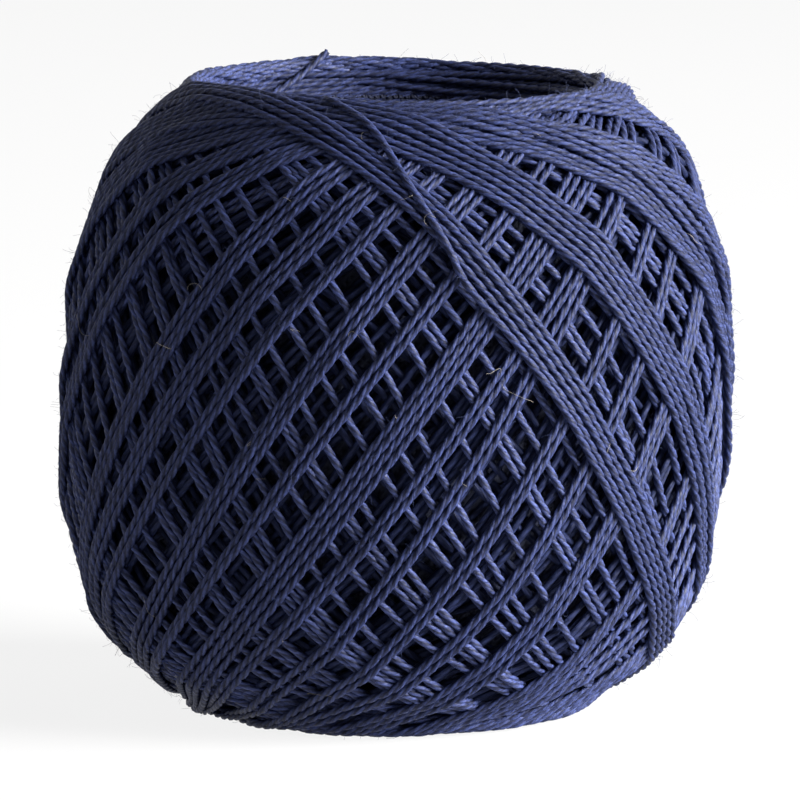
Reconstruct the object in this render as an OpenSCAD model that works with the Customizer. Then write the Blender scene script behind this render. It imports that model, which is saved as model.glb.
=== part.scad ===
// Ball of pearl cotton thread, cross-wound on a card tube.
// Millimetres. The ball stands on its end at z = 0, and its axis is the Z axis.

/* [Card tube] */
// Bore of the card tube
bore_d = 13; // [10:0.5:14]
// Thickness of the card
card_wall = 1; // [0.6:0.1:1.4]
// Length of the card tube
tube_len = 29; // [27:0.5:31]
// Rounding of the tube's cut edges
edge_round = 0.2; // [0.1:0.05:0.25]

/* [Ball] */
// Greatest width of the ball, over its crossing net
ball_d = 42; // [40:0.5:46]
// Height of the ball from its foot to its rim
ball_h = 39.4; // [38:0.2:44]
// Fullness of the barrel: 2 is an ellipse, more is squarer
fullness = 2.6; // [2.3:0.1:3]
// Depth of the flat that the ball stands on, cut into the rounded rim
foot_cut = 0.5; // [0.3:0.1:0.7]

/* [Mouth] */
// Radius from the axis to the crest of the rim
rim_r = 13.3; // [12.6:0.1:13.8]
// Rounding of the crest
crest_round = 1.2; // [1:0.1:1.4]
// Straight outer side of the rim below its rounding
collar_h = 1.4; // [1:0.1:1.8]
// Depth of the mouth from the crest to the end of the inner winding
throat_depth = 4.6; // [4:0.1:5.2]

/* [Inner winding] */
// Radius of the inner winding
inner_r = 10.5; // [9.4:0.1:11]
// Dip of its ends towards the tube
inner_dip = 2.2; // [1.6:0.1:2.8]
// Clearance between one wound stage and what it is wound on
wind_fit = 0.1; // [0.05:0.05:0.2]

/* [Thread] */
// Diameter of the thread
thread_d = 0.45; // [0.35:0.05:0.55]
// Least space left between two passes of the thread
thread_gap = 0.43; // [0.42:0.01:0.5]
// Loops in the crossing net, an odd number
net_loops = 17; // [9:2:17]
// Turns in the closing band
band_turns = 5; // [3:1:6]
// Azimuth at which the closing band climbs across the ball's middle
band_azimuth = -55; // [-80:1:-40]

/* [Hidden] */

$fn = 72;

thread_colour = [0.23, 0.27, 0.46];
card_colour = [0.74, 0.66, 0.54];

// Rings in one loop of the thread's tube, and sides of the tube
loop_rings = 24;
tube_sides = 6;
ring_step = 360 / loop_rings;
// Space between the thread and the winding or rim that it passes
seat_gap = 0.06;

thread_r = thread_d / 2;
tube_r = bore_d / 2 + card_wall;
half_h = (ball_h + foot_cut) / 2;
mid_z = ball_h - half_h;
collar_r = rim_r + crest_round;
crest_z = half_h - crest_round;
throat_z = half_h - throat_depth;
mouth_angle = 160;

// A straight stretch between two rings dips below its ends by this much on a circle
function dip(radius, half_angle) = radius * (1 - cos(half_angle));

// Where a loop turns back near the rim, half a ring step covers this much azimuth
turn_half = 12;
// Half the azimuth spanned by a straight stretch where neighbouring loops cross near the rim
cross_half = 10.5;

// Heights of the three lays of thread above the plain winding
lay_1 = thread_r + dip(collar_r, turn_half) + seat_gap;
lay_step = thread_d + thread_gap + dip(ball_d / 2, cross_half);
lay_2 = lay_1 + lay_step;
lay_3 = lay_2 + lay_step;

// The plain winding is a superellipse of revolution, cut short at both ends by the rim's collar
base_r = ball_d / 2 - lay_2 - thread_r;
shoulder_z = crest_z - collar_h;
pole_h = shoulder_z / pow(1 - pow(collar_r / base_r, fullness), 1 / fullness);

function barrel_z(radius, side, pole) = pole * pow(1 - pow(radius / side, fullness), 1 / fullness);

function barrel_reach(latitude, side, pole) =
    1 / pow(pow(cos(latitude) / side, fullness) + pow(abs(sin(latitude)) / pole, fullness), 1 / fullness);

// Point in direction aim from the ball's middle, lifted off the plain winding
function on_ball(aim, lift) =
    aim * barrel_reach(asin(aim[2]), base_r + lift, pole_h + lift);

function barrel_radius(height, side, pole) = side * pow(1 - pow(height / pole, fullness), 1 / fullness);

// The net turns back where its first lay just clears the collar, and no lay comes below the foot
turn_r = (collar_r + thread_r + seat_gap) / cos(turn_half);
turn_z = barrel_z(turn_r, base_r + lay_1, pole_h + lay_1);
low_z = mid_z - thread_r - seat_gap;
function foot_tilt(lift) = atan2(low_z, barrel_radius(low_z, base_r + lift, pole_h + lift));
net_tilt = min(atan2(turn_z, turn_r), foot_tilt(lay_2));

// The band's turns lie side by side, the first as low as the net and the last as high.
// The first of them joins the net's last turning point with a little spare lift.
join_lift = 0.3;
band_pitch = atan((thread_d + thread_gap) / (base_r + lay_3));
band_half = band_turns * band_pitch / 2;
band_tilt = min(net_tilt, foot_tilt(lay_3 + join_lift)) - band_half;

// Direction on a loop that climbs clockwise: turn is 0 at its rising node and 90 at its top,
// and aside is the angle by which the loop is shifted along its own axis
function loop_aim(turn, azimuth, tilt, aside) =
    let (node_aim = [cos(azimuth), sin(azimuth), 0])
    let (top_aim = [sin(azimuth) * cos(tilt), -cos(azimuth) * cos(tilt), sin(tilt)])
    let (axis_aim = cross(top_aim, node_aim))
    cos(aside) * (cos(turn) * node_aim + sin(turn) * top_aim) + sin(aside) * axis_aim;

function polar(azimuth, radius, height) = [radius * cos(azimuth), radius * sin(azimuth), height];

// The net: rising passes lie on the first lay and falling passes cross over them on the second
join_turn = 360 * net_loops + 270;
net_advance = 360 / (net_loops + 1);
// The thread comes out of the plain winding at a falling node, half way between two rising passes
net_start = 180;

function net_azimuth(turn) = band_azimuth + net_advance * (turn - join_turn) / 360;
function net_lift(turn) = sin(turn + 90) > 0 ? lay_1 : lay_2;

start_aim = loop_aim(net_start, net_azimuth(net_start), net_tilt, 0);
net_route = [
    on_ball(start_aim, seat_gap),
    on_ball(start_aim, lay_2),
    for (turn = [net_start + ring_step / 2 : ring_step : join_turn])
        on_ball(loop_aim(turn, net_azimuth(turn), net_tilt, 0), net_lift(turn))
];

// The closing band: turns about one tilted axis, on the third lay. The spare lift that it joins
// the net with is lost over its first few rings.
join_rings = 4;
function band_lift(turn) =
    lay_3 + join_lift * max(0, 1 - (turn - join_turn - ring_step / 2) / (join_rings * ring_step));

leave_turn = join_turn + 360 * band_turns + 90 + ring_step * 1.5;
band_route = [
    for (turn = [join_turn + ring_step / 2 : ring_step : leave_turn + 0.01])
        on_ball(loop_aim(turn, band_azimuth, band_tilt, band_pitch * (turn - join_turn) / 360 - band_half),
                band_lift(turn))
];

// The tail: over the shoulder and the crest, round the wall of the mouth and up to its cut end.
// Each station is given by its azimuth from the band's node.
rim_lift = thread_r + seat_gap;
tail_lift = 0.4;
wall_lift = rim_lift * 1.2;

function shoulder_station(azimuth, latitude) =
    on_ball([cos(latitude) * cos(azimuth), cos(latitude) * sin(azimuth), sin(latitude)], lay_3 + tail_lift);

// Station round the rounded crest: 0 is its outer side and 90 its top
function crest_station(azimuth, around, lift) =
    polar(azimuth, rim_r + (crest_round + lift) * cos(around), crest_z + (crest_round + lift) * sin(around));

// Station on the mouth's wall, at a share of the way from the crest to the throat
wall_top = [rim_r + crest_round * cos(mouth_angle), crest_z + crest_round * sin(mouth_angle)];
wall_end = [inner_r + wind_fit, throat_z];

function wall_station(azimuth, share) =
    let (at = wall_top + share * (wall_end - wall_top))
    polar(azimuth, at[0] - wall_lift, at[1]);

cut_end_lift = 0.5;

tail_stations = [
    shoulder_station(band_azimuth - 35, 44),
    shoulder_station(band_azimuth - 41, 49),
    crest_station(band_azimuth - 45, 60, rim_lift * 2),
    crest_station(band_azimuth - 48, 95, rim_lift),
    crest_station(band_azimuth - 51, 140, rim_lift),
    wall_station(band_azimuth - 58, 0.35),
    wall_station(band_azimuth - 73, 0.6),
    wall_station(band_azimuth - 96, 0.7),
    wall_station(band_azimuth - 121, 0.7),
    wall_station(band_azimuth - 145, 0.6),
    wall_station(band_azimuth - 166, 0.4),
    wall_station(band_azimuth - 180, 0.12),
    crest_station(band_azimuth - 187, 140, rim_lift),
    crest_station(band_azimuth - 192, 100, rim_lift + cut_end_lift)
];

// Smooth curve through the stations, with a few rings between each two
function blend(a, b, c, d, s) =
    0.5 * ((2 * b) + (c - a) * s + (2 * a - 5 * b + 4 * c - d) * s * s + (3 * b - a - 3 * c + d) * s * s * s);

station_rings = 3;
tail_guides = concat([band_route[len(band_route) - 2], band_route[len(band_route) - 1]], tail_stations);
tail_route = [
    for (k = [1 : len(tail_guides) - 2])
        for (s = [1 : station_rings])
            blend(tail_guides[k - 1], tail_guides[k], tail_guides[k + 1],
                  tail_guides[min(k + 2, len(tail_guides) - 1)], s / station_rings)
];

// One route for the whole thread, so that its three pieces meet face to face
route = concat(net_route, band_route, tail_route);
band_from = len(net_route);
tail_from = band_from + len(band_route);

function unit(v) = v / norm(v);
function heading(k) = unit(route[min(k + 1, len(route) - 1)] - route[min(k, len(route) - 2)]);

// Each ring lies in the plane that halves the bend, whose normal this is
function bend_normal(k) = k == 0 ? heading(0) : unit(heading(k - 1) + heading(k));

// A side vector carried along the thread without twist, by mirroring it at each bend
side_start = unit(cross(heading(0), heading(1)));
side_vectors = [
    for (k = 0, side = side_start; k < len(route);
         k = k + 1, side = side - 2 * (side * bend_normal(k)) * bend_normal(k))
        side
];

function ring_points(at, along, side, normal) =
    let (up = cross(along, side))
    [for (j = [0 : tube_sides - 1])
        let (out = thread_r * (cos(360 * j / tube_sides) * side + sin(360 * j / tube_sides) * up))
        at + out - along * (out * normal) / (along * normal)];

// Ring at station k of the route, and the square-cut ring half way to the next station
function bend_ring(k) =
    k == 0 ? ring_points(route[0], heading(0), side_vectors[1], heading(0))
           : ring_points(route[k], heading(k - 1), side_vectors[k], bend_normal(k));

function cut_ring(k) =
    ring_points((route[k] + route[k + 1]) / 2, heading(k), side_vectors[k + 1], heading(k));

// Tube through a list of rings, closed by a flat end at each end
module thread_tube(ring_list) {
    last = len(ring_list) - 1;
    skin = [
        for (k = [0 : last - 1])
            for (j = [0 : tube_sides - 1])
                let (a = k * tube_sides + j)
                let (b = k * tube_sides + (j + 1) % tube_sides)
                each [[a, a + tube_sides, b], [b, a + tube_sides, b + tube_sides]]
    ];
    first_end = [for (j = [1 : tube_sides - 2]) [0, j, j + 1]];
    last_end = [for (j = [1 : tube_sides - 2])
        [last * tube_sides, last * tube_sides + j + 1, last * tube_sides + j]];
    polyhedron(points = [for (ring = ring_list) each ring], faces = concat(skin, first_end, last_end));
}

// Least distance between two straight stretches, one from a to b and one from c to d
function clamp(v) = max(0, min(1, v));

function stretch_distance(a, b, c, d) =
    let (u = b - a, v = d - c, w = a - c)
    let (uu = u * u, uv = u * v, vv = v * v, uw = u * w, vw = v * w)
    let (spread = uu * vv - uv * uv)
    let (s0 = spread > 0.000001 ? clamp((uv * vw - vv * uw) / spread) : 0)
    let (t = clamp((uv * s0 + vw) / vv))
    let (s = clamp((uv * t - uw) / uu))
    norm(a + s * u - c - t * v);

// The thread's least gap to itself, leaving out the stretches that are next to each other
longest = max([for (k = [0 : len(route) - 2]) norm(route[k + 1] - route[k])]);
apart = 4;
self_gap = min([
    for (j = [0 : len(route) - 2])
        for (k = [j + apart : 1 : len(route) - 2])
            if (norm(route[j] - route[k]) < 2 * longest + 1)
                stretch_distance(route[j], route[j + 1], route[k], route[k + 1])
]) - thread_d;

echo(thread_least_gap_to_itself_mm = self_gap);

module standing() {
    translate([0, 0, mid_z]) children();
}

function arc(at, radius, from, to, steps) =
    [for (k = [0 : steps]) at + radius * [cos(from + (to - from) * k / steps), sin(from + (to - from) * k / steps)]];

function flipped(points) = [for (k = [len(points) - 1 : -1 : 0]) [points[k][0], -points[k][1]]];

module core_tube() {
    corner = tube_len / 2 - edge_round;
    upper = concat(arc([tube_r - edge_round, corner], edge_round, 0, 90, 4),
                   arc([bore_d / 2 + edge_round, corner], edge_round, 90, 180, 4));
    color(card_colour)
        standing()
            rotate_extrude()
                polygon(concat(upper, flipped(upper)));
}

module inner_winding() {
    near = tube_r + wind_fit;
    upper = [[inner_r, throat_z - crest_round], [inner_r - crest_round, throat_z],
             [near, throat_z - inner_dip]];
    color(thread_colour)
        standing()
            rotate_extrude()
                polygon(concat(upper, flipped(upper)));
}

module base_winding() {
    steps = 12;
    side = [for (k = [0 : steps - 1])
        let (latitude = atan2(shoulder_z, collar_r) * k / steps)
        barrel_reach(latitude, base_r, pole_h) * [cos(latitude), sin(latitude)]];
    top = concat(side, [[collar_r, shoulder_z]], arc([rim_r, crest_z], crest_round, 0, mouth_angle, 8),
                 [wall_end]);
    foot_angle = asin((crest_round - foot_cut) / crest_round);
    foot = concat(flipped(concat([[collar_r, shoulder_z]],
                                 arc([rim_r, crest_z], crest_round, 0, foot_angle, 5),
                                 arc([rim_r, crest_z], crest_round, 180 - foot_angle, mouth_angle, 2),
                                 [wall_end])));
    color(thread_colour)
        standing()
            rotate_extrude()
                polygon(concat(foot, flipped([for (k = [1 : steps - 1]) side[k]]), top));
}

module net_winding() {
    color(thread_colour)
        standing()
            thread_tube(concat([for (k = [0 : band_from - 1]) bend_ring(k)], [cut_ring(band_from - 1)]));
}

module closing_band() {
    color(thread_colour)
        standing()
            thread_tube(concat([cut_ring(band_from - 1)], [for (k = [band_from : tail_from - 1]) bend_ring(k)],
                               [cut_ring(tail_from - 1)]));
}

module thread_tail() {
    color(thread_colour)
        standing()
            thread_tube(concat([cut_ring(tail_from - 1)],
                               [for (k = [tail_from : len(route) - 1]) bend_ring(k)]));
}

core_tube();
inner_winding();
base_winding();
net_winding();
closing_band();
thread_tail();
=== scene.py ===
# A small ball of pearl cotton, cross-wound on a card tube: the thread itself, strand by strand.
import math

import bmesh
import bpy
import numpy as np
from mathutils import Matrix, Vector


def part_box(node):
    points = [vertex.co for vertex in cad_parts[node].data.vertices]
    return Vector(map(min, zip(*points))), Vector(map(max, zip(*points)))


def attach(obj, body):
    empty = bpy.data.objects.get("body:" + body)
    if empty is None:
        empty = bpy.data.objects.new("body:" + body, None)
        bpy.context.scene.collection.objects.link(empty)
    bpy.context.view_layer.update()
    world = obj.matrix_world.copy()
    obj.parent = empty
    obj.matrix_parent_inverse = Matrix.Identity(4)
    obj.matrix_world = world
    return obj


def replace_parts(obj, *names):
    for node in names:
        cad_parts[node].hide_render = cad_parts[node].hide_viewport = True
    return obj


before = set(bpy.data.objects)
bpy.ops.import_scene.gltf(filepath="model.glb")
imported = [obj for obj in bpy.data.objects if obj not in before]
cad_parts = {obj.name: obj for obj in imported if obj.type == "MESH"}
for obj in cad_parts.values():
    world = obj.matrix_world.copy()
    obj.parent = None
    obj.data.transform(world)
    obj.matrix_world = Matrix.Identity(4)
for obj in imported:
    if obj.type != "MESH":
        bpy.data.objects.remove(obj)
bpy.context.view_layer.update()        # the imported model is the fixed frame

rng = np.random.default_rng(8)
mm = 0.001
sceneItems = bpy.context.scene.collection


def sayStage(text):
    print("stage:", text)


class Tone:                       # a socket that can be used in sums
    tree = None

    def __init__(self, socket):
        self.socket = socket

    @classmethod
    def node(cls, kind, settings=None, inputs=None, output=0):
        made = cls.tree.nodes.new(kind)
        for key, value in (settings or {}).items():
            setattr(made, key, value)
        for key, value in (inputs or {}).items():
            if isinstance(value, Tone):
                cls.tree.links.new(value.socket, made.inputs[key])
            else:
                made.inputs[key].default_value = value
        if isinstance(output, tuple):
            return [Tone(made.outputs[key]) for key in output]
        return Tone(made.outputs[output])

    @classmethod
    def maths(cls, operation, *values):
        return cls.node("ShaderNodeMath", {"operation": operation}, dict(enumerate(values)))

    def __add__(self, other):
        return Tone.maths("ADD", self, other)

    def __radd__(self, other):
        return Tone.maths("ADD", other, self)

    def __sub__(self, other):
        return Tone.maths("SUBTRACT", self, other)

    def __rsub__(self, other):
        return Tone.maths("SUBTRACT", other, self)

    def __mul__(self, other):
        return Tone.maths("MULTIPLY", self, other)

    def __rmul__(self, other):
        return Tone.maths("MULTIPLY", other, self)


def blendColour(factor, dark, light):
    return Tone.node("ShaderNodeMix", {"data_type": "RGBA"}, {0: factor, 6: dark, 7: light}, 2)


def newFinish(name):
    finish = bpy.data.materials.new(name)
    finish.use_nodes = True
    Tone.tree = finish.node_tree
    return finish, finish.node_tree.nodes["Principled BSDF"].inputs


def feed(socket, value):
    Tone.tree.links.new(value.socket, socket)


def objectSpot():
    return Tone.node("ShaderNodeTexCoord", None, None, 3)


def noiseAt(spot, scale, detail, roughness=0.5):
    return Tone.node("ShaderNodeTexNoise", None,
                     {"Vector": spot, "Scale": scale, "Detail": detail, "Roughness": roughness})


def bumpOf(strength, distance, height):
    return Tone.node("ShaderNodeBump", None, {"Strength": strength, "Distance": distance, "Height": height})


def dress(name, mesh, look):          # makes a mesh a piece of the ball
    mesh.name = name
    mesh.materials.clear()
    mesh.materials.append(look)
    mesh.shade_smooth()
    made = bpy.data.objects.new(name, mesh)
    sceneItems.objects.link(made)
    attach(made, "root")
    return made


def meshOfCurve(curve):
    drawn = bpy.data.objects.new(curve.name + "Path", curve)
    sceneItems.objects.link(drawn)
    mesh = bpy.data.meshes.new_from_object(drawn.evaluated_get(bpy.context.evaluated_depsgraph_get()))
    bpy.data.objects.remove(drawn)
    return mesh


def meshOfBody(name, body):
    mesh = bpy.data.meshes.new(name)
    body.to_mesh(mesh)
    body.free()
    return mesh


def spunBody(outline, steps):         # a closed outline, turned once round the axis
    body = bmesh.new()
    ring = [body.verts.new(point) for point in outline]
    edgeList = [body.edges.new((ring[k], ring[(k + 1) % len(ring)])) for k in range(len(ring))]
    bmesh.ops.spin(body, geom=ring + edgeList, cent=(0, 0, 0), axis=(0, 0, 1), angle=2 * math.pi,
                   steps=steps, use_merge=True)
    bmesh.ops.remove_doubles(body, verts=body.verts, dist=0.00002)
    bmesh.ops.recalc_face_normals(body, faces=body.faces)
    return body


def unit(rows):
    return rows / np.linalg.norm(rows, axis=1)[:, None]


def runAlong(path):                   # the distance from a path's start to each of its points
    return np.concatenate([[0], np.cumsum(np.linalg.norm(np.diff(path, axis=0), axis=1))])


def spacedOut(path, count):           # the same path with so many samples, all as far apart
    run = runAlong(path)
    wanted = np.linspace(0, run[-1], count)
    return np.stack([np.interp(wanted, run, path[:, k]) for k in range(3)], -1)


def evenly(path, gap):                # the same path with samples a fixed distance apart
    return spacedOut(path, max(2, int(runAlong(path)[-1] / gap)))


ball = {                          # in mm and degrees, as all sizes here
    "midHeight": sum(corner[2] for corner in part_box("core_tube")) / 2 / mm,
    "halfWidth": 20.78,      # out to the middle of the outermost strands
    "topHeight": 22.85,      # the same up the axis, if the barrel had no mouths
    "footHeight": 22.5,      # and down it
    "fullness": 2.6,         # 2 is an ellipse, and more is squarer
    "footFrom": -44,         # below this latitude the next ones set in, each over its own degrees
    "footPress": 0.7,        # how much the ball's weight flattens what stands out near its foot
    "pressOver": 6,
    "footTuck": 0.06,        # how much narrower it is just above the floor
    "tuckOver": 8,
    "lowest": 0.25,          # the middle of a strand that lies on the floor
    "lean": 0.018,           # how far the upper part bulges to the right
    "topLatitude": 60.0,     # the map of the surface ends here
    "cell": 0.3,             # its cells
}
middle = np.array([0, 0, ball["midHeight"]])


def reachAt(latitude):
    fullness = ball["fullness"]
    across = np.abs(np.cos(latitude)) / ball["halfWidth"]
    upward = np.abs(np.sin(latitude)) / np.where(latitude > 0, ball["topHeight"], ball["footHeight"])
    return (across ** fullness + upward ** fullness) ** (-1 / fullness)


def seat(aims, lifts):            # points at a lift above the ball's outermost surface
    latitude = np.arcsin(np.clip(aims[:, 2], -1, 1))
    azimuth = np.arctan2(aims[:, 1], aims[:, 0])
    below = ball["footFrom"] - np.degrees(latitude)
    pressedFlat = ball["footPress"] * np.clip(below / ball["pressOver"], 0, 1)
    lifts = np.where(lifts > 0, lifts * (1 - pressedFlat), lifts)
    points = aims * (reachAt(latitude) + lifts)[:, None]
    tuck = ball["footTuck"] * np.clip(below / ball["tuckOver"], 0, 1)
    points[:, :2] *= (1 - tuck + ball["lean"] * np.cos(azimuth) * np.sin(2 * latitude))[:, None]
    height, low = points[:, 2] + ball["midHeight"], ball["lowest"]
    points[:, 2] = np.where(height < 2 * low, low + low * np.exp(height / low - 2), height)
    return points


def aimAt(latitude, azimuth):     # the direction from the ball's middle
    latitude, azimuth = np.radians(latitude), np.radians(azimuth)
    return np.stack([np.cos(latitude) * np.cos(azimuth), np.cos(latitude) * np.sin(azimuth),
                     np.sin(latitude)], -1)


thread = {
    "pitch": 3.1,            # one full twist of its plies
    "plies": 3,
    "restRadius": 0.165,     # strands press into each other a little where they cross
    "rimPress": 0.65,        # and more near the rim: this share is left from the second latitude on
    "rimLatitudes": [36, 48],
    "lane": 0.455,           # from one strand to the next in a group that lies side by side
    "halfLaneTurn": 0.8,     # half of that, in degrees round the ball
    "laneJitter": 0.025,
    "tiltJitter": 0.12,
    "wander": 0.08,          # how far a loop strays from its course, in degrees
    "samples": 1440,         # along each loop
    "lastSamples": 432,      # of the last loop: the loose end leaves it there
}

# Groups of strands side by side, newest first: azimuth where the first one climbs, strands, tilt,
# and how much further round it comes down again
newestGroups = [
    (-58.4, 5, 55.7, 0), (-34.4, 6, 54.8, 3), (-7.4, 6, 54.6, 12), (2.4, 3, 53.4, 0), (13.0, 3, 52.2, 0),
    (35.5, 3, 53.8, 0), (44.0, 3, 51.5, 0), (53.7, 2, 50.8, 0), (66.0, 3, 53.0, 0), (76.5, 2, 51.2, 0),
    (87.0, 4, 52.0, 0), (98.8, 2, 50.8, 0), (105.5, 2, 55.2, 0), (117.1, 2, 54.8, 0), (128.1, 2, 55.8, 0),
    (140.5, 3, 55.6, 0), (160.6, 2, 54.5, 0),
]
fixedTops = 5                     # these turn at the top just where the list has them
olderLays = {
    "from": 167.5,           # azimuths, counted on round the ball
    "until": 620.0,
    "spacing": 6.0,
    "jitter": 0.8,
    "doubles": 0.25,         # how many of them are two strands side by side
    "tilt": 53.2,
    "tiltJitter": 1.3,
    "leastTilt": 49.5,
    "mostTilt": 56.2,
    "steepUntil": 370.0,     # the ones after this turn lower, so that the rim isn't heaped up
    "lowTilt": 42.0,
    "highTilt": 52.0,
    "steeper": 6.0,          # half-way up
}
hiddenLays = {                    # only glimpsed, deep in the gaps
    "loops": 84,
    "lowTilt": 36.0,
    "highTilt": 50.0,
    "spacing": 8.0,
    "jitter": 1.5,
    "inHeart": 20,           # so many of them shape the heart itself
}
# How far below the finished surface the winding starts, at every fifth degree of latitude
groundDepths = [2.96, 3.04, 3.23, 3.43, 3.57, 3.74, 3.83, 4.1, 3.9, 4.0, 4.4, 3.4, 3.0]
evening = {                       # heaps are evened out by winding again over a changed ground
    "rounds": 3,
    "gain": 0.85,
    "latitudes": [-57, -51, -45, 0, 45, 51, 57],
    "levels": [0.4, -0.3, 0.0, 0.06, 0.08, 0.0, -0.3],      # of the outermost strands, at those latitudes
    "deepest": -5.6,
    "shallowest": -1.6,
}

groups = list(newestGroups)
at = olderLays["from"]
while at < olderLays["until"]:
    tilt = olderLays["tilt"] + rng.normal(0, olderLays["tiltJitter"])
    tilt = min(olderLays["mostTilt"], max(olderLays["leastTilt"], tilt))
    if at > olderLays["steepUntil"]:
        tilt = rng.uniform(olderLays["lowTilt"], olderLays["highTilt"])
    groups.append((at, 2 if rng.random() < olderLays["doubles"] else 1, tilt, 0))
    at += olderLays["spacing"] + rng.normal(0, olderLays["jitter"])
for _ in range(hiddenLays["loops"]):
    groups.append((at, 1, rng.uniform(hiddenLays["lowTilt"], hiddenLays["highTilt"]), 0))
    at += hiddenLays["spacing"] + rng.normal(0, hiddenLays["jitter"])
loops = []                        # each: azimuth where it climbs, tilt, lane, steeper, further round, group
for number, (first, count, tilt, further) in enumerate(groups):
    centre = first + (count - 1) * thread["halfLaneTurn"]
    steeper = olderLays["steeper"] if number >= len(newestGroups) else 0
    for k in range(count):
        lane = (k - (count - 1) / 2) * thread["lane"] + rng.normal(0, thread["laneJitter"])
        loops.append((centre, tilt + rng.normal(0, thread["tiltJitter"]), lane, steeper, further, number))
newestCount = sum(group[1] for group in newestGroups)
loops = loops[::-1]               # now oldest first

rows = int(2 * ball["topLatitude"] / ball["cell"])
columns = int(360 / ball["cell"])
latitudes = (np.arange(rows) + 0.5) * ball["cell"] - ball["topLatitude"]
start = np.repeat(-np.interp(np.abs(latitudes), np.arange(0, 61, 5), groundDepths)[:, None], columns, 1)
turn = np.linspace(-90, 270, thread["samples"], endpoint=False)     # up, over the top, down and under
waves = (len(loops), 3)
wanderSizes = np.stack([rng.normal(0, thread["wander"], waves), rng.uniform(0, 6.28, waves)], -1)
slips = np.zeros((len(loops), 2))     # how far each loop has slipped up or down at its two turns
handOver, calmOver = 30, 40           # degrees in which a loop goes over to the next, and strays less


def cellOf(latitude, azimuth):
    row = np.clip(((latitude + ball["topLatitude"]) / ball["cell"]).astype(int), 0, rows - 1)
    return row, (azimuth / ball["cell"]).astype(int) % columns


def loopRoute(index, near=slice(None)):      # directions along one loop
    here = np.array(loops[index][:5])
    before = np.array(loops[index - 1][:5]) if index else here
    after = np.array(loops[index + 1][:5]) if index + 1 < len(loops) else here
    at = turn[near]
    entering = 2 * np.clip((handOver - 90 - at) / (2 * handOver), 0, 0.5) ** 2
    leaving = 2 * np.clip((at + handOver - 270) / (2 * handOver), 0, 0.5) ** 2
    azimuth, tilt, lane, steeper, further = (here[:, None] + entering * (before - here)[:, None]
                                             + leaving * (after - here)[:, None])
    topSlip, bottomSlip = slips[index]
    bottomSlip = bottomSlip + 2 * entering * (slips[max(index - 1, 0), 1] - bottomSlip)
    wander = wanderSizes[index]
    wave = sum(wander[k, 0] * np.sin(np.radians(at * (k + 2)) + wander[k, 1]) for k in range(3))
    wave *= np.clip((at + 90) / calmOver, 0, 1) * np.clip((270 - at) / calmOver, 0, 1)
    sine, cosine = np.sin(np.radians(at)), np.cos(np.radians(at))
    around = np.radians(azimuth + wave - further * (0.5 - cosine * (0.75 - 0.25 * cosine ** 2)))
    tilts = np.radians(tilt + steeper * cosine ** 2 + np.where(sine > 0, topSlip, bottomSlip) * sine ** 6)
    climb = np.stack([np.sin(around) * np.cos(tilts), -np.cos(around) * np.cos(tilts), np.sin(tilts)], -1)
    level = np.stack([np.cos(around), np.sin(around), 0 * around], -1)
    aside = -np.cross(level, climb) * (lane / ball["halfWidth"])[:, None]
    return unit(cosine[:, None] * level + sine[:, None] * climb + aside)


rest = thread["restRadius"]
touches = np.array([-0.9, -0.45, 0, 0.45, 0.9]) * rest     # lines across the thread that may touch
pressed = np.interp(np.abs(latitudes), thread["rimLatitudes"], [1, thread["rimPress"]])


def acrossOf(aims):                   # where lines beside the thread lie on the map
    base = seat(aims, np.zeros(len(aims)))
    ahead = np.gradient(base, axis=0)
    stride = np.linalg.norm(ahead, axis=1)
    ahead /= stride[:, None]
    across = unit(np.cross(ahead, aims))
    latitude, azimuth = np.degrees(np.arcsin(aims[:, 2])), np.degrees(np.arctan2(aims[:, 1], aims[:, 0]))
    reach = reachAt(np.radians(latitude))
    east = np.stack([-np.sin(np.radians(azimuth)), np.cos(np.radians(azimuth)), 0 * azimuth], -1)
    north = np.cross(aims, east)
    perEast = np.degrees(np.sum(across * east, 1) / (reach * np.cos(np.radians(latitude))))
    perNorth = np.degrees(np.sum(across * north, 1) / reach)
    cells = [cellOf(latitude + d * perNorth, azimuth + d * perEast) for d in touches]
    return cells, ahead, stride


def needed(cells):                    # the lift at which a thread clears all that it touches
    return np.max([surface[cell] + pressed[cell[0]] * math.sqrt(rest * rest - d * d)
                   for cell, d in zip(cells, touches)], 0)


def pulledTight(need, drop):          # straight from one support to the next: drop is a step's fall
    lift = None
    for size, rounds in ((16, 80), (4, 60), (1, 30)):      # in coarse steps first
        low = need.reshape(-1, size).max(1)
        fall = drop.reshape(-1, size).mean(1) * size * size
        lift = low.copy() if lift is None else np.maximum(low, np.interp(
            np.arange(len(low)) * size + size / 2, middles, lift))
        for _ in range(rounds):
            lift[1:-1] = np.maximum(low[1:-1], 0.5 * (lift[:-2] + lift[2:]) - 0.5 * fall[1:-1])
        middles = np.arange(len(low)) * size + size / 2
    return lift


softReach, joinOver = 12, 60          # samples over which a thread's bends are eased, and two runs meet
soft = np.exp(-0.5 * (np.arange(-softReach, softReach + 1) / 4.5) ** 2)
soft /= soft.sum()
topTurn, bottomTurn = (turn > 25) & (turn < 155), (turn > 205)
slipping = {
    "lowest": (-1.5, -4.0),           # at the top turn and at the bottom one
    "ease": (0.1, 0.04),              # what a degree further out is worth, in mm of height
    "lowestNew": -1.0,                # the newest groups run on further under the ball
    "highest": 5.1,                   # just past the last step that is tried
    "step": 0.5,
    "lastLatitude": 57.6,             # no turn goes past it
    "peakShare": 0.4,                 # how much the highest crossing counts beside their mean
}


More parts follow.
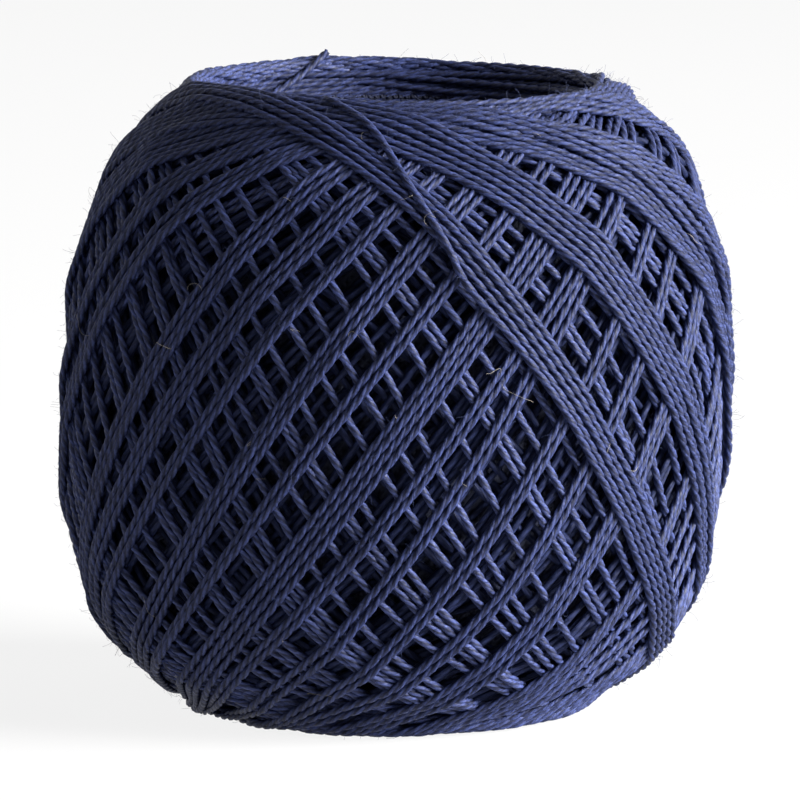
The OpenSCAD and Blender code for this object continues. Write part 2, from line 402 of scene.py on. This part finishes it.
def settleTurns(index):               # at its turns a group slips to where it lies lowest
    group = loops[index][5]
    if index and group == loops[index - 1][5]:
        slips[index] = slips[index - 1]
        return
    spread = abs(loops[index][2]) / ball["halfWidth"] * 57.3      # in degrees
    for side, near in ((0, topTurn), (1, bottomTurn)):
        if group < fixedTops and not side:
            slips[index, side] = 0
            continue
        newest = side and group < len(newestGroups)
        lowest = slipping["lowestNew"] if newest else slipping["lowest"][side]
        best = None
        for slip in np.arange(lowest, slipping["highest"], slipping["step"]):
            if loops[index][1] + slip + spread > slipping["lastLatitude"] and slip > lowest:
                continue
            slips[index, side] = slip
            need = needed(acrossOf(loopRoute(index, near))[0])
            cost = need.mean() + slipping["peakShare"] * need.max() - slipping["ease"][side] * slip
            if best is None or cost < best[0]:
                best = (cost, slip)
        slips[index, side] = best[1]


def layDown(aims, lastLift):          # rests a run of thread on what is wound already, and adds it
    cells, ahead, stride = acrossOf(aims)
    bend = np.gradient(ahead, axis=0) / stride[:, None]
    curve = np.clip(-np.sum(bend * aims, 1), 0.01, 0.12)
    lift = pulledTight(needed(cells), curve * stride ** 2)
    lift = np.convolve(np.pad(lift, softReach, "edge"), soft, "valid")
    if lastLift is not None:
        lift[:joinOver] += (lastLift - lift[0]) * (1 - np.arange(joinOver) / joinOver) ** 2
    for cell, d in zip(cells, touches):
        np.maximum.at(surface, cell, lift + pressed[cell[0]] * math.sqrt(rest * rest - d * d))
    return lift


def heights(tall=20, wide=50):        # of the outermost strands in each block, smoothed over the map
    blocks = surface.reshape(rows // tall, tall, columns // wide, wide).transpose(0, 2, 1, 3)
    high = np.percentile(blocks.reshape(rows // tall, columns // wide, -1), 90, axis=2)
    high = np.repeat(np.repeat(high, tall, 0), wide, 1)
    for axis, reach in ((0, tall // 2), (1, wide // 2)) * 2:
        if axis:                      # the map closes round the ball, and ends at the rims
            ends = high[:, -reach:], high[:, :reach]
        else:
            ends = high[:1].repeat(reach, 0), high[-1:].repeat(reach, 0)
        padded = np.concatenate([ends[0], high, ends[1]], axis)
        sums = np.cumsum(np.concatenate([0 * padded.take([0], axis), padded], axis), axis)
        size, count = 2 * reach + 1, high.shape[axis]
        high = (sums.take(range(size, size + count), axis) - sums.take(range(count), axis)) / size
    return high


wanted = np.interp(latitudes, evening["latitudes"], evening["levels"])[:, None]
for _ in range(evening["rounds"]):
    surface = start.copy()
    slips[:] = 0
    laid, lastLift = [], None
    for index in range(len(loops)):
        settleTurns(index)
        aims = loopRoute(index, slice(None) if index + 1 < len(loops) else slice(thread["lastSamples"]))
        lift = layDown(aims, lastLift)
        lastLift = lift[-1]
        if index + 1 == hiddenLays["inHeart"]:
            ground = surface.copy()
        laid.append((aims, lift))
    start = start - evening["gain"] * (heights() - wanted)
    start = np.clip(start, evening["deepest"], evening["shallowest"])
sayStage(f"wound {len(loops)} loops")


cotton = {
    # painted shade: the thread's colour in the grooves between its plies, much darker than its crowns
    "grooveShade": (0.005, 0.006, 0.0165, 1),
    "crown": (0.030, 0.042, 0.124, 1),
    "innerShadeShare": 0.45,      # painted shade: the lays far inside are drawn darker by this, a shaded copy of the thread
    "underLightShare": 1.3,       # painted light: the one under the net is drawn lighter by this, a lit copy of the thread
    "innerGrooveShade": 0.4,      # painted shade: how dark the grooves are far inside, beside the crowns
    "roughness": 0.6,
    "gloss": 0.14,
    "fibreTurn": 0.22,       # turns back against the plies in 1 mm: fibres run nearly along the thread
    "patchScale": 240.0,
    "grainScale": 4200.0,
}


# share 1 is the thread's own colour; below 1 it makes a painted-shade copy and above 1 a painted-light
# copy, with the gloss scaled alike
def cottonFinish(name, share):
    finish, skin = newFinish(name)
    along, around = Tone.node("ShaderNodeSeparateXYZ", None,
                              {0: Tone.node("ShaderNodeUVMap", {"uv_map": "thread"})}, (0, 1))
    ply = Tone.maths("ABSOLUTE", Tone.maths("SINE", around * (thread["plies"] * math.pi)))
    angle = (around - along * cotton["fibreTurn"]) * (2 * math.pi)
    x, y = Tone.maths("COSINE", angle) * 2.2, Tone.maths("SINE", angle) * 2.2
    fibreSpot = Tone.node("ShaderNodeCombineXYZ", None, {0: x, 1: y, 2: along * 0.9})
    fibre = Tone.node("ShaderNodeMapRange", None, {0: noiseAt(fibreSpot, 1.0, 2.0, 0.6), 1: 0.4, 2: 0.6})
    spot = objectSpot()
    patch, grain = noiseAt(spot, cotton["patchScale"], 2.0), noiseAt(spot, cotton["grainScale"], 2.0)
    speck = Tone.node("ShaderNodeMapRange", None, {0: grain, 1: 0.38, 2: 0.62})
    # painted shade in the ply grooves: the colour falls to the groove colour where ply goes to 0; fibre,
    # speck and patch are the thread's own tone
    shade = ply * (0.15 + 0.6 * fibre + 0.5 * speck) * (0.7 + 0.6 * patch)
    grooveShade, crown = ([*(channel * share for channel in cotton[key][:3]), 1] for key in ("grooveShade", "crown"))
    if share < 1:                     # soft and flat, far inside: the painted-shade copy
        grooveShade = [*(channel * cotton["innerGrooveShade"] for channel in crown[:3]), 1]
    feed(skin["Base Color"], blendColour(shade, grooveShade, crown))
    feed(skin["Roughness"], cotton["roughness"] - 0.15 * fibre)
    feed(skin["Normal"], bumpOf(0.6, 0.00009, ply * 0.5 + fibre * 0.35 + speck * 0.2))
    skin["Specular IOR Level"].default_value = cotton["gloss"] * share
    return finish


cottonLook = cottonFinish("cotton", 1.0)
shadedInnerLook = cottonFinish("shadedInnerCotton", cotton["innerShadeShare"])
litUnderLook = cottonFinish("litUnderCotton", cotton["underLightShare"])


def sectionCurve(name, points):       # the outline that is swept along a strand
    curve = bpy.data.curves.new(name, "CURVE")
    curve.dimensions = "2D"
    spline = curve.splines.new("POLY")
    spline.points.add(len(points) - 1)
    for point, (radius, angle) in zip(spline.points, points):
        point.co = (radius * mm * math.cos(angle), radius * mm * math.sin(angle), 0, 1)
    spline.use_cyclic_u = True
    made = bpy.data.objects.new(name, curve)
    sceneItems.objects.link(made)
    return made


third = 2 * math.pi / thread["plies"]
# Points of one ply, as radius and share of the ply: the first lies in the groove between two plies
plyPoints = {"full": ((0.13, 0), (0.24, 0.3), (0.24, 0.7)), "plain": ((0.15, 0), (0.245, 0.5))}
sections = {}
for kind, points in plyPoints.items():
    corners = [(radius, third * (k + share)) for k in range(thread["plies"]) for radius, share in points]
    sections[kind] = sectionCurve(kind + "Outline", corners)
sections["round"] = sectionCurve("roundOutline", [(0.228, 2 * math.pi * k / 5) for k in range(5)])
# The same points as shares of one turn round the thread, for its maps
sectionTurns = {"full": [0, 0.1, 0.2333, 0.3333, 0.4333, 0.5667, 0.6667, 0.7667, 0.9],
                "plain": [0, 0.1667, 0.3333, 0.5, 0.6667, 0.8333], "round": [0, 0.2, 0.4, 0.6, 0.8]}


def sweep(name, points, kind, look=cottonLook):      # a strand along a line, with its plies twisting
    lengths = runAlong(points)
    turns = lengths / thread["pitch"]
    curve = bpy.data.curves.new(name, "CURVE")
    curve.dimensions = "3D"
    curve.twist_mode = "MINIMUM"
    curve.bevel_mode = "OBJECT"
    curve.bevel_object = sections[kind]
    curve.use_fill_caps = True
    spline = curve.splines.new("POLY")
    spline.points.add(len(points) - 1)
    spline.points.foreach_set("co", np.c_[points * mm, np.ones(len(points))].astype(np.float32).ravel())
    if kind != "round":               # a round one has the twist in its map alone
        spline.points.foreach_set("tilt", (-2 * math.pi * turns).astype(np.float32))
    made = dress(name, meshOfCurve(curve), look)
    unwrapStrand(made.data, sectionTurns[kind], lengths, turns, kind == "round")
    return made


def unwrapStrand(mesh, sideTurns, lengths, turns, twistMap):      # for the material, and for the bake
    sides = len(sideTurns)
    corner = np.empty(len(mesh.loops), int)
    mesh.loops.foreach_get("vertex_index", corner)
    starts, totals = np.empty(len(mesh.polygons), int), np.empty(len(mesh.polygons), int)
    mesh.polygons.foreach_get("loop_start", starts)
    mesh.polygons.foreach_get("loop_total", totals)
    face = np.repeat(np.arange(len(totals)), totals)
    ring, side = corner // sides, corner % sides
    ring = np.minimum(ring, len(lengths) - 1)
    firstRing = np.minimum.reduceat(ring, starts)[face]
    firstSide, lastSide = np.minimum.reduceat(side, starts)[face], np.maximum.reduceat(side, starts)[face]
    wraps = (firstSide == 0) & (lastSide == sides - 1)
    around = np.array(sideTurns + [1.0])[np.where(wraps & (side == 0), sides, side)]
    across = around + (turns[ring] - np.floor(turns[firstRing]) if twistMap else 0)
    mapped = mesh.uv_layers.new(name="thread")
    mapped.data.foreach_set("uv", np.stack([lengths[ring], across], -1).astype(np.float32).ravel())
    rowCount = max(1, int(math.sqrt(lengths[-1] / 1.5)))      # the bake's square is filled in rows
    ringsPerRow = math.ceil(len(lengths) / rowCount)
    row = firstRing // ringsPerRow
    flatX = (ring - row * ringsPerRow) / ringsPerRow
    flatY = (row + 0.04 + 0.92 * around) / rowCount
    baked = mesh.uv_layers.new(name="OFBake")
    baked.data.foreach_set("uv", np.stack([flatX, flatY], -1).astype(np.float32).ravel())


def strandsOf(first, last, every):    # the middle line of a run of loops, thinned to every nth sample
    aims = np.concatenate([laid[k][0] for k in range(first, last)])
    lifts = np.concatenate([laid[k][1] for k in range(first, last)])
    line = seat(aims, lifts)
    end = seat(laid[last][0][:1], laid[last][1][:1]) if last < len(laid) else line[-1:]
    return np.concatenate([line[:-1][::every], end])


underLoops = 46                       # just under the net
hiddenTo = hiddenLays["loops"]
newFrom, bandFrom = len(laid) - newestCount, len(laid) - newestGroups[0][1]
underFrom = newFrom - underLoops
# Each lay: its first loop and the one after its last, every how many samples, outline, most loops in
# a piece, look
# lowLay and deepLay take the painted-shade copy of the thread, underLay the painted-light copy
lays = {
    "lowLay": (0, hiddenTo, 9, "round", 84, shadedInnerLook),
    "deepLay": (hiddenTo, underFrom, 6, "round", 66, shadedInnerLook),
    "underLay": (underFrom, newFrom, 3, "full", 17, litUnderLook),
    "netLay": (newFrom, bandFrom, 3, "full", 17, cottonLook),
}
strandPieces = {}
for label, (first, last, every, kind, most, look) in lays.items():
    count = math.ceil((last - first) / most)
    for k in range(count):
        a, b = first + (last - first) * k // count, first + (last - first) * (k + 1) // count
        name = f"{label}{k + 1}"
        strandPieces[name] = sweep(name, strandsOf(a, b, every), kind, look)
        sayStage(f"{name}: {len(strandPieces[name].data.polygons)} faces")
band = sweep("closingTurns", strandsOf(bandFrom, len(laid), 2), "full")
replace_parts(strandPieces["netLay1"], "net_winding")
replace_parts(band, "closing_band")


heart = {
    # painted shade: the heart is drawn as strands in two directions, darker between them
    "dark": (0.014, 0.015, 0.024, 1),
    "light": (0.03, 0.034, 0.058, 1),
    "rows": 94.0,            # of its drawn strands: their phase per radian round it
    "rise": 4390.0,          # and per metre up it
    "latitudes": (-57, 57),
    "depth": -3.0,           # below the outermost surface, until the hidden lays give it their shape
    "leastDepth": -1.0,
    # radius of the corners inside its mouths and their height from the middle, from the top down
    "corners": ((12.6, 18.6), (12.1, 18.2), (10.7, 15.5), (10.62, -15.5), (11.5, -18.2), (11.9, -18.6)),
    "shapedFrom": 12.7,      # the radius outside which the hidden lays shape it
    "rings": 150,            # down its side
    "sides": 420,
}


def heartFinish():
    finish, skin = newFinish("woundCotton")
    spot = objectSpot()
    x, y, z = Tone.node("ShaderNodeSeparateXYZ", None, {0: spot}, (0, 1, 2))
    angle = Tone.maths("ARCTAN2", y, x) * heart["rows"]
    climbing = Tone.maths("ABSOLUTE", Tone.maths("SINE", angle - z * heart["rise"]))      # two directions
    falling = Tone.maths("ABSOLUTE", Tone.maths("SINE", angle + z * heart["rise"]))
    drawn = Tone.maths("MAXIMUM", climbing, falling * 0.8) * (0.5 + noiseAt(spot, 900.0, 4.0))
    # painted shade between the drawn strands: the colour goes to dark where neither family crests
    feed(skin["Base Color"], blendColour(drawn, heart["dark"], heart["light"]))
    skin["Roughness"].default_value = 0.9
    skin["Specular IOR Level"].default_value = 0.06
    feed(skin["Normal"], bumpOf(0.8, 0.0002, drawn))
    return finish


def groundBody():
    profile = aimAt(np.linspace(*heart["latitudes"], heart["rings"]), np.zeros(heart["rings"]))
    points = [Vector(point) for point in seat(profile, np.full(heart["rings"], heart["depth"]))]
    points += [Vector((radius, 0, ball["midHeight"] + height)) for radius, height in heart["corners"]]
    body = spunBody([point * mm for point in points], heart["sides"])
    for vert in body.verts:
        point = vert.co / mm - Vector(middle)
        if math.hypot(point.x, point.y) > heart["shapedFrom"]:
            aim = point.normalized()
            cell = cellOf(np.array([math.degrees(math.asin(aim.z))]),
                          np.array([math.degrees(math.atan2(aim.y, aim.x))]))
            lift = min(float(ground[cell][0]), heart["leastDepth"])
            vert.co = Vector(seat(np.array([aim]), np.array([lift]))[0]) * mm
    return meshOfBody("woundHeart", body)


heartLook = heartFinish()
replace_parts(dress("woundHeart", groundBody(), heartLook), "base_winding")
sayStage("ground")


mouth = {
    # radius of each mouth's crest and how far it is from the ball's middle: the wall starts just inside it
    "crests": ((13.05, ball["topHeight"] * 0.868), (12.3, ball["footHeight"] * 0.86)),
    "throatRadius": 10.85,
    "throatHeight": 15.6,
    "hollow": 0.27,          # how far the wall sags between them
    "turns": 15,
    "crossings": 11,
    "spacing": 0.24,         # of the samples along its strands
    "dive": 0.35,            # radians in which the coil's ends sink out of sight
}


def wallPoint(azimuth, share, out, crest=mouth["crests"][0]):      # share 0 at the crest, 1 at the throat
    widest, crown = crest
    sag = mouth["hollow"] * np.sin(math.pi * np.clip(share, 0, 1))
    radius = widest + share * (mouth["throatRadius"] - widest) - out * 0.86
    height = crown + share * (mouth["throatHeight"] - crown) - sag + out * 0.5
    return np.stack([radius * np.cos(azimuth), radius * np.sin(azimuth), height], -1)


def mouthStrands(side):               # a coil down the wall, and strands that dip in and come out again
    crest = mouth["crests"][0 if side > 0 else 1]
    turns = np.arange(0, 2 * math.pi * mouth["turns"], 0.02)
    share = 0.05 + turns / turns[-1] * 0.97
    share = share + 0.012 * np.sin(turns * 1.37) + 0.01 * np.sin(turns * 0.61 + 2)
    buried = np.exp(-turns / mouth["dive"]) + np.exp(-(turns[-1] - turns) / mouth["dive"])
    coil = wallPoint(turns, share, 0.2 + 0.05 * np.sin(turns * 2.3) - 1.2 * buried, crest)
    paths = [coil]
    for k in range(mouth["crossings"]):
        low = 0.1 + 0.7 * (k + 0.5) / mouth["crossings"]
        centre = rng.uniform(0, 2 * math.pi)
        across = np.linspace(-1, 1, 260)
        azimuth = centre + across * rng.uniform(1.1, 1.5)
        dip = 0.1 + low * (1 - np.abs(across) ** 2.2)
        paths.append(wallPoint(azimuth, dip, 0.45 + 0.1 * (k % 3) - 1.9 * np.abs(across) ** 5, crest))
    return [atEnd(path, side) for path in paths]


def atEnd(path, side):                # put at the upper end of the ball, or turned over at the lower one
    if side < 0:
        path[:, 1:] *= -1
    path[:, 2] = np.maximum(path[:, 2] + ball["midHeight"], ball["lowest"])
    return path


def joinPieces(name, pieces):
    target = bmesh.new()
    faces = [len(piece.data.polygons) for piece in pieces]
    for k, piece in enumerate(pieces):
        flat = piece.data.uv_layers["OFBake"].data      # each keeps its own strip of the shared map
        spots = np.empty(2 * len(flat), np.float32)
        flat.foreach_get("uv", spots)
        spots[1::2] = (sum(faces[:k]) + spots[1::2] * faces[k]) / sum(faces)
        flat.foreach_set("uv", spots)
        target.from_mesh(piece.data)
    for piece in pieces:
        bpy.data.objects.remove(piece)
    dress(name, meshOfBody(name, target), cottonLook)


for side, label in ((1, "upperMouth"), (-1, "lowerMouth")):
    joinPieces(label, [sweep(f"{label}{k}", evenly(path, mouth["spacing"]), "plain")
                       for k, path in enumerate(mouthStrands(side))])
sayStage("mouths")


sleeve = {
    "inner": 7.75,           # its end coils reach from this radius to the next
    "outer": 10.4,
    "endHeight": 15.2,       # from the ball's middle
    "dip": 2.0,              # how much lower they start
    "turns": 6,
    "spacing": 0.24,         # of the samples along them
    # radius and height of the upper half's corners, from the inside out: the lower half is the same
    "corners": ((7.6, 12.9), (9.0, 14.6), (10.3, 15.05), (10.5, 14.6)),
    "sides": 96,
}


def sleeveStrands(side):
    turns = np.arange(0, 2 * math.pi * sleeve["turns"], 0.03)
    share = turns / turns[-1]
    radius = sleeve["inner"] + share * (sleeve["outer"] - sleeve["inner"])
    height = sleeve["endHeight"] - sleeve["dip"] * (1 - share) ** 1.4
    return atEnd(np.stack([radius * np.cos(turns), radius * np.sin(turns), height], -1), side)


def sleeveBody():
    upper = sleeve["corners"]
    outline = [*upper, *((radius, -height) for radius, height in upper[::-1])]
    points = [(radius * mm, 0, (height + ball["midHeight"]) * mm) for radius, height in outline]
    return meshOfBody("innerSleeve", spunBody(points, sleeve["sides"]))


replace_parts(dress("innerSleeve", sleeveBody(), heartLook), "inner_winding")
joinPieces("sleeveTurns", [sweep(f"sleeveTurns{side}", evenly(sleeveStrands(side), sleeve["spacing"]),
                                 "plain") for side in (1, -1)])
sayStage("sleeve")


tailPath = {
    # azimuth and latitude on its way from the last loop up to the crest
    "climb": [(-77.2, 24.2), (-80.5, 29.8), (-84.0, 35.2), (-87.2, 39.8), (-90.2, 44.4), (-93.6, 48.8),
              (-98.0, 52.2), (-102.4, 54.4), (-106.5, 56.0)],
    # azimuth, share of the mouth's wall and height over it, to the end on the far crest
    "inside": [(-112, 0.14, 0.8), (-123, 0.42, 0.85), (-150, 0.68, 0.9), (-180, 0.74, 0.9),
               (-205, 0.67, 0.9), (-224, 0.5, 0.85), (-238, 0.28, 0.8), (-246, 0.08, 0.7),
               (-250, -0.06, 0.5)],
    "samples": 256,          # on its way up
    "spacing": 0.2,          # of the finished line's samples
    "leaving": 60,           # samples before the last loop's end that give the way it starts
    "turningIn": 24,         # and before the crest
}


def curveThrough(stations, steps):    # a smooth line through all of them
    line = []
    for k in range(len(stations) - 1):
        a, b, c, d = (stations[min(max(k + j, 0), len(stations) - 1)] for j in (-1, 0, 1, 2))
        for s in np.linspace(0, 1, steps, endpoint=False):
            line.append(0.5 * (2 * b + (c - a) * s + (2 * a - 5 * b + 4 * c - d) * s * s
                               + (3 * b - a - 3 * c + d) * s ** 3))
    return np.array(line + [stations[-1]])


def tailRoute():
    lastAims, lastLifts = laid[-1]
    climb = np.array(tailPath["climb"])
    stations = np.concatenate([lastAims[[-tailPath["leaving"], -1]], aimAt(climb[:, 1], climb[:, 0])])
    line = curveThrough(stations, 40)[40:]          # from the last loop's end on
    aims = unit(spacedOut(line, tailPath["samples"]))
    outer = seat(aims, layDown(aims, lastLifts[-1]))
    inside = [wallPoint(np.radians(azimuth), share, out) + middle
              for azimuth, share, out in tailPath["inside"]]
    turnIn = curveThrough(np.array([outer[-tailPath["turningIn"]], outer[-1], *inside]), 14)[14:]
    return evenly(np.concatenate([outer[:-1], turnIn]), tailPath["spacing"])


tailLine = tailRoute()
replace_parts(sweep("looseEnd", tailLine, "full"), "thread_tail")
sayStage("loose end")


def looseFibres(name, roots, along, out, lengths, hair, look):
    steps, curl = hair["steps"], hair["curl"]
    way = unit(along * rng.uniform(-1, 1, (len(roots), 1)) + out * rng.uniform(0.2, 0.9, (len(roots), 1))
               + rng.normal(0, 0.35, roots.shape))
    bend = rng.normal(0, curl, roots.shape)
    points = [roots]
    for _ in range(steps):
        points.append(points[-1] + way * (lengths / steps)[:, None])
        way = unit(way + (bend - 0.6 * out) / steps)
        bend = bend + rng.normal(0, curl / 2, roots.shape)
    points = np.stack(points, 1)
    points[..., 2] = np.maximum(points[..., 2], 0.02)      # none goes through the floor
    fibres = np.concatenate([points * mm, np.ones((len(roots), steps + 1, 1))], -1).astype(np.float32)
    curve = bpy.data.curves.new(name, "CURVE")
    curve.dimensions = "3D"
    curve.bevel_depth, curve.bevel_resolution = hair["width"] / 2 * mm, 0
    for fibre in fibres:
        spline = curve.splines.new("POLY")
        spline.points.add(steps)
        spline.points.foreach_set("co", fibre.ravel())
    made = dress(name, meshOfCurve(curve), look)
    sayStage(f"{name}: {len(made.data.polygons)} faces")


def fibreFinish(name, dark, light):
    finish, skin = newFinish(name)
    feed(skin["Base Color"], blendColour(noiseAt(objectSpot(), 700.0, 1.0), dark, light))
    skin["Roughness"].default_value = 0.8
    skin["Specular IOR Level"].default_value = 0.06
    return finish


def lengthsOf(hair, count):           # most are short
    return hair["shortest"] + (hair["longest"] - hair["shortest"]) * rng.random(count) ** hair["shortness"]


strandTop, covered = 0.16, 0.3        # where a fibre starts, and how far over it another strand hides it


def fibreRoots(count, tries=3, lowest=-90.0):      # on the outer strands, where none lies over them
    which = rng.integers(newFrom, len(laid) - 1, count * tries)
    where = rng.integers(0, len(turn) - 2, count * tries)
    aims = np.array([laid[a][0][b] for a, b in zip(which, where)])
    ahead = np.array([laid[a][0][b + 2] for a, b in zip(which, where)]) - aims
    lifts = np.array([laid[a][1][b] for a, b in zip(which, where)])
    cell = cellOf(np.degrees(np.arcsin(aims[:, 2])), np.degrees(np.arctan2(aims[:, 1], aims[:, 0])))
    high = aims[:, 2] > math.sin(math.radians(lowest))
    free = np.flatnonzero((surface[cell] < lifts + covered) & high)[:count]
    return seat(aims[free], lifts[free] + strandTop), unit(ahead[free]), aims[free]


fuzz = {
    "count": 5200,
    "shortest": 0.2,
    "longest": 1.1,
    "shortness": 2.5,        # 1 spreads the lengths evenly, and more makes short ones common
    "width": 0.012,
    "steps": 4,
    "curl": 0.8,
    "dark": (0.02, 0.027, 0.07, 1),
    "light": (0.06, 0.075, 0.16, 1),
}
roots, ahead, out = fibreRoots(fuzz["count"])
looseFibres("fuzz", roots, ahead, out, lengthsOf(fuzz, len(roots)), fuzz,
            fibreFinish("fuzzCotton", fuzz["dark"], fuzz["light"]))

lint = {
    "scattered": 60,
    "shortest": 0.8,
    "longest": 2.4,
    "width": 0.015,
    "steps": 14,
    "curl": 3.4,
    "dark": (0.16, 0.15, 0.13, 1),
    "light": (0.42, 0.38, 0.32, 1),
    # azimuth and latitude of the ones that are most in view
    "placed": [(-148.5, 4.0), (-111.8, 52.2), (-89.0, 37.5), (-107.5, 17.8), (-113.2, -7.5), (-58.2, -5.8),
               (-46.5, 17.0), (-26.0, 29.8), (-84.0, 35.0), (-97.0, 50.0)],
}
roots, ahead, out = fibreRoots(lint["scattered"])
placedAt = np.array(lint["placed"]).T[::-1]
placed = aimAt(*placedAt)
level = unit(np.cross((0, 0, 1.0), placed))
roots = np.concatenate([roots, seat(placed, surface[cellOf(*placedAt)] + 0.05)])
looseFibres("lint", roots, np.concatenate([ahead, level]), 0.35 * np.concatenate([out, placed]),
            rng.uniform(lint["shortest"], lint["longest"], len(roots)), lint,
            fibreFinish("lintFibre", lint["dark"], lint["light"]))

crestFuzz = {
    "count": 800,
    "above": 51.0,           # the latitude from which it stands
    "onTail": 160,
    "shortest": 0.2,
    "longest": 1.3,
    "shortness": 2,
    "width": 0.012,
    "steps": 5,
    "curl": 1.2,
    "dark": (0.03, 0.036, 0.08, 1),
    "light": (0.09, 0.105, 0.19, 1),
}
roots, ahead, out = fibreRoots(crestFuzz["count"], 12, crestFuzz["above"])
spots = rng.integers(10, len(tailLine) - 3, crestFuzz["onTail"])
tailOut = unit(tailLine[spots] - middle)
roots = np.concatenate([roots, tailLine[spots] + 0.2 * tailOut])
ahead = np.concatenate([ahead, unit(tailLine[spots + 2] - tailLine[spots])])
out = np.concatenate([out, tailOut])
looseFibres("crestFuzz", roots, ahead, out, lengthsOf(crestFuzz, len(roots)), crestFuzz,
            fibreFinish("crestFuzzCotton", crestFuzz["dark"], crestFuzz["light"]))


card = {
    "dark": (0.26, 0.19, 0.12, 1),
    "light": (0.5, 0.4, 0.28, 1),
    "seam": (0.1, 0.07, 0.045, 1),
    "wraps": 62.0,           # of the paper strip in 1 m of the tube
}


def cardFinish():
    finish, skin = newFinish("spiralCard")
    spot = objectSpot()
    x, y, z = Tone.node("ShaderNodeSeparateXYZ", None, {0: spot}, (0, 1, 2))
    grain = noiseAt(spot, 1400.0, 5.0)
    spiral = Tone.maths("FRACT", Tone.maths("ARCTAN2", y, x) * (0.5 / math.pi) + z * card["wraps"])
    seam = Tone.maths("GREATER_THAN", Tone.maths("ABSOLUTE", spiral - 0.5), 0.488)      # between two wraps
    paper = blendColour(grain, card["dark"], card["light"])
    feed(skin["Base Color"], blendColour(seam * 0.75, paper, card["seam"]))
    skin["Roughness"].default_value = 0.85
    feed(skin["Normal"], bumpOf(0.3, 0.00005, grain - seam))
    return finish


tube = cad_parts["core_tube"]
tube.data.materials.clear()
tube.data.materials.append(cardFinish())
sayStage("tube")


def seenAsBackdrop():                 # 1 for rays that show the backdrop, 0 for those that light the ball
    direct, glossy, through = Tone.node("ShaderNodeLightPath", None, None,
                                        ("Is Camera Ray", "Is Glossy Ray", "Is Transmission Ray"))
    return Tone.maths("MAXIMUM", direct, Tone.maths("MAXIMUM", glossy, through))


def floorFinish():
    finish, skin = newFinish("paleFloor")
    skin["Base Color"].default_value = (0.8, 0.8, 0.8, 1)
    skin["Roughness"].default_value = 0.9
    glow = Tone.node("ShaderNodeEmission", None, {"Color": (1, 1, 1, 1), "Strength": 1.0})
    mixed = Tone.node("ShaderNodeMixShader", None, {0: seenAsBackdrop() * studio["floorGlow"],
                                                    1: Tone(Tone.tree.nodes["Principled BSDF"].outputs[0]),
                                                    2: glow})
    feed(Tone.tree.nodes["Material Output"].inputs[0], mixed)
    return finish


def buildFloor():
    body = bmesh.new()
    bmesh.ops.create_circle(body, cap_ends=True, segments=64, radius=3.0)
    made = bpy.data.objects.new("floor", meshOfBody("floor", body))
    sceneItems.objects.link(made)
    made.data.materials.append(floorFinish())


studio = {
    "floorGlow": 0.86,       # share of the floor that shows as white backdrop, over its own shadow
    "ambient": 0.06,         # light from all round
    # name, azimuth, elevation, distance, size, power, colour
    "lamps": [("key", 73, 18, 0.6, 0.35, 20.0, (1.0, 0.99, 0.98)),
              ("rim", 140, 30, 0.6, 0.35, 0.4, (1.0, 1.0, 1.0)),
              ("fill", -20, 25, 0.8, 0.6, 0.1, (1.0, 1.0, 1.0))],
}
view = {
    "elevation": 8.0,
    "distance": 0.45,
    "scale": 16.0,           # pixels per mm at the ball's middle
    "frame": 800,            # pixels across the frame
    "shift": (5, -6),        # pixels that the frame lies to the right and above
    "sensor": 36.0,
}
sky = bpy.data.worlds.new("studio")
bpy.context.scene.world = sky
sky.use_nodes = True
Tone.tree = sky.node_tree
background = sky.node_tree.nodes["Background"].inputs
background["Color"].default_value = (1, 1, 1, 1)
feed(background["Strength"], seenAsBackdrop() * (1 - studio["ambient"]) + studio["ambient"])
buildFloor()


def placeRound(name, data, azimuth, elevation, distance):      # looking at the ball's middle
    azimuth, elevation = math.radians(azimuth), math.radians(elevation)
    back = Vector((math.sin(azimuth) * math.cos(elevation), -math.cos(azimuth) * math.cos(elevation),
                   math.sin(elevation)))
    placed = bpy.data.objects.new(name, data)
    placed.location = Vector((0, 0, ball["midHeight"] * mm)) + back * distance
    placed.rotation_mode = "QUATERNION"
    placed.rotation_quaternion = (-back).to_track_quat("-Z", "Y")
    sceneItems.objects.link(placed)
    return placed


for name, azimuth, elevation, distance, size, power, colour in studio["lamps"]:
    lamp = bpy.data.lights.new(name, "AREA")
    lamp.size, lamp.energy, lamp.color = size, power, colour
    placeRound(name, lamp, azimuth, elevation, distance)

lens = bpy.data.cameras.new("camera")
lens.sensor_width = view["sensor"]
lens.lens = view["sensor"] * view["scale"] * (view["distance"] / mm) / view["frame"]
lens.shift_x, lens.shift_y = (pixels / view["frame"] for pixels in view["shift"])
lens.clip_start, lens.clip_end = 0.01, 20
bpy.context.scene.camera = placeRound("camera", lens, 0, view["elevation"], view["distance"])
bpy.context.scene.view_settings.view_transform = "Standard"
sayStage("studio")

for outline in sections.values():
    bpy.data.objects.remove(outline)
